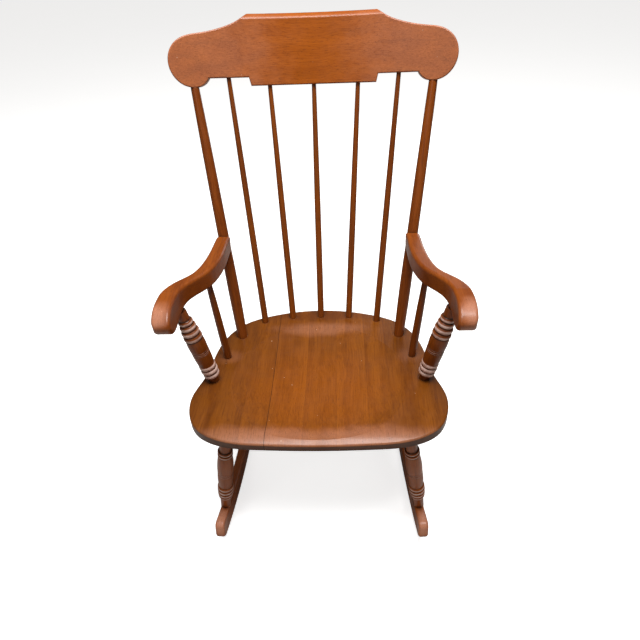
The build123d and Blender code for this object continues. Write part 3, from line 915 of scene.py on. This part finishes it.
@dataclass
class Base:
    """The four turned legs and the two rockers."""

    tenon_mm: float = 22.0
    leg_rings: tuple = (
        (0, 0.15), (20, 0.3), (33, 0.05), (37, 0.75), (41, 0.05), (44, 0.05), (48, 0.75),
        (52, 0.05), (57, 0.3), (118, 0.3), (118.8, 0.8), (120.5, 0.25), (122.6, 0.25), (123.4, 0.8),
        (125, 0.25), (127.2, 0.25), (128, 0.8), (129.5, 0.3), (174, 0.3), (179.8, 0.05),
        (186.8, 0.75), (193.8, 0.02), (201.3, 0.8), (208.8, 0.0), (215.8, 0.8), (222.8, 0.02),
        (228.8, 0.7), (234.8, 0.0), (241, 0.3), (275, 0.25),
    )
    rocker_tips: tuple = (Patch((0.248, -0.335, 0.090), (0.020, 0.055, 0.034), Tint.WEAR_AND_HIGHLIGHT, 0.8),)

    def dress(self, timber: Timber) -> None:
        """Dress the legs along their lengths and the rockers front to back.

        Args:
            timber: What dresses a piece in maple.
        """
        rings = tuple((place + self.tenon_mm, pale) for place, pale in self.leg_rings)
        for side in ("left", "right"):
            for end in ("front", "rear"):
                piece = WoodPiece(
                    GrainRun.ALONG_TURNING,
                    tone=-0.10,
                    figure=0.5,
                    wear=0.2,
                    rings=rings,
                    rings_from_top=True,
                )
                timber.dress(f"{end}_leg_{side}", piece)
            timber.dress(
                f"rocker_{side}",
                WoodPiece(GrainRun.FRONT_TO_BACK, tone=-0.02, wear=0.7, patches=self.rocker_tips),
            )


@dataclass
class Fasteners:
    """The screws and the small wooden plugs, pins and dowels."""

    wooden: tuple = ("arm_screw_plugs", "crest_pins", "rocker_pins")
    end_grain_scale: float = 900.0
    steel: BrushedSteel = field(default_factory=BrushedSteel)

    def dress(self, timber: Timber) -> None:
        """Dress the pins as darker end grain and the screws as steel.

        Args:
            timber: What dresses a piece in maple.
        """
        for node in self.wooden:
            piece = WoodPiece(
                GrainRun.FRONT_TO_BACK, tone=-0.18, figure=0.4, grain_scale=self.end_grain_scale
            )
            timber.dress(node, piece)
        material, graph, shader = new_material("screw_steel")
        steel = self.steel
        at = graph.add("TexCoord").outputs["Object"]
        brushed = graph.stretched(at, (1.0, steel.scratch_stretch, 1.0))
        scratches = graph.noise(brushed, steel.grain_scale, 4.0)
        colour = graph.mix(scratches, steel.shade, steel.colour)
        graph.feed(shader.inputs["Base Color"], colour)
        satin = graph.ramp(scratches, *steel.scratch_range, *steel.satin)
        graph.feed(shader.inputs["Roughness"], satin)
        relief = {"Strength": steel.bump, "Distance": steel.bump_depth, "Height": scratches}
        bump = graph.add("Bump", relief)
        graph.feed(shader.inputs["Normal"], bump.outputs[0])
        shader.inputs["Metallic"].default_value = 1.0
        give_material("arm_screws", material)
        log.info("arm_screws: brushed steel")


@dataclass(frozen=True)
class Softbox:
    """A square soft light: where it hangs, the point it faces, its side and its power."""

    name: str
    place: tuple
    aim: tuple
    side: float
    watts: float


@dataclass
class Studio:
    """A pale floor, soft light and the camera."""

    floor_size: float = 60.0
    floor_glow: float = 0.70       # keeps the far floor pale
    floor_bounce: tuple = (0.50, 0.46, 0.42, 1.0)    # what the chair gets back from the floor
    floor_shades: tuple = (srgb(248, 248, 247), srgb(253, 253, 252))
    sky_tint: tuple = (1.0, 0.95, 0.90, 1.0)
    sky_strength: float = 0.15
    backdrop: tuple = (0.95, 0.95, 0.95, 1.0)
    backdrop_strength: float = 0.9
    softboxes: tuple = (
        Softbox("overhead", (0.15, -0.35, 3.2), (0.0, 0.0, 0.5), 1.5, 125.0),
        Softbox("front_fill", (-1.2, -2.4, 2.8), (0.0, 0.0, 0.6), 1.4, 10.0),
        Softbox("rear_fill", (1.0, 2.8, 0.9), (0.0, 0.0, 0.6), 1.4, 16.0),
    )
    camera_at: tuple = (0.0511, -0.9617, 1.231)
    look_down: float = 41.55       # degrees below level
    turned_left: float = 2.83      # degrees
    tipped: float = 2.58           # degrees, anticlockwise
    lens: float = 28.1
    shift: tuple = (-0.002, 0.039)

    def build_floor(self) -> None:
        """Lay the floor as one large, faintly mottled sheet."""
        bpy.ops.object.select_all(action="DESELECT")
        bpy.ops.mesh.primitive_plane_add(size=self.floor_size)
        floor = bpy.context.object
        floor.name = "floor"
        material, graph, shader = new_material("studio_floor")
        at = graph.add("TexCoord").outputs["Object"]
        mottle = graph.noise(at, 3.0, 4.0)
        colour = graph.mix(mottle, *self.floor_shades)
        shader.inputs["Roughness"].default_value = 0.9
        shader.inputs["Specular IOR Level"].default_value = 0.2
        seen = graph.add("LightPath").outputs["Is Camera Ray"]
        graph.feed(shader.inputs["Base Color"], graph.mix(seen, self.floor_bounce, colour))
        shader.inputs["Emission Color"].default_value = (1.0, 1.0, 1.0, 1.0)
        glow = graph.math("MULTIPLY", seen, self.floor_glow)
        graph.feed(shader.inputs["Emission Strength"], glow)
        floor.data.materials.append(material)
        log.info("floor: %.0f m square", self.floor_size)

    def add_softbox(self, box: Softbox) -> None:
        """Hang a square soft light.

        Args:
            box: The light.
        """
        light = bpy.data.lights.new(box.name, "AREA")
        light.shape = "SQUARE"
        light.size = box.side
        light.energy = box.watts
        lamp = bpy.data.objects.new(box.name, light)
        bpy.context.scene.collection.objects.link(lamp)
        facing = Vector(box.aim) - Vector(box.place)
        lamp.location = box.place
        lamp.rotation_euler = facing.to_track_quat("-Z", "Y").to_euler()

    def build_light(self) -> None:
        """Light the chair softly from above, with fills from the front and the rear."""
        world = bpy.data.worlds.new("studio_sky")
        world.use_nodes = True
        graph = Graph(world.node_tree)
        sky = world.node_tree.nodes["Background"]
        seen = graph.add("LightPath").outputs["Is Camera Ray"]
        graph.feed(sky.inputs["Color"], graph.mix(seen, self.sky_tint, self.backdrop))
        strength = graph.ramp(seen, 0.0, 1.0, self.sky_strength, self.backdrop_strength)
        graph.feed(sky.inputs["Strength"], strength)
        bpy.context.scene.world = world
        for box in self.softboxes:
            self.add_softbox(box)

    def build_camera(self) -> None:
        """Set the camera in front of the chair, high up and looking down."""
        pitch = math.radians(self.look_down)
        yaw = math.radians(-self.turned_left)
        roll = math.radians(-self.tipped)
        forward = Vector(
            (math.sin(yaw) * math.cos(pitch), math.cos(yaw) * math.cos(pitch), -math.sin(pitch))
        )
        level = Vector((math.cos(yaw), -math.sin(yaw), 0.0))
        upward = level.cross(forward)
        right = level * math.cos(roll) + upward * math.sin(roll)
        up = upward * math.cos(roll) - level * math.sin(roll)
        view = bpy.data.cameras.new("camera")
        view.lens = self.lens
        view.shift_x, view.shift_y = self.shift
        camera = bpy.data.objects.new("camera", view)
        bpy.context.scene.collection.objects.link(camera)
        turn = Matrix((right, up, -forward)).transposed().to_4x4()
        camera.matrix_world = Matrix.Translation(self.camera_at) @ turn
        bpy.context.scene.camera = camera
        bpy.context.scene.view_settings.view_transform = "Standard"

    def build(self) -> None:
        """Build the floor, the light and the camera."""
        self.build_floor()
        self.build_light()
        self.build_camera()


def main() -> None:
    """Dress the chair and stage it."""
    logging.basicConfig(level=logging.INFO, format="%(name)s %(message)s")
    Studio().build()
    timber = Timber(Effects(), StainedMaple())
    for assembly in (Seat(), Back(), Arms(), Base(), Fasteners()):
        assembly.dress(timber)


if __name__ == "__main__":
    main()
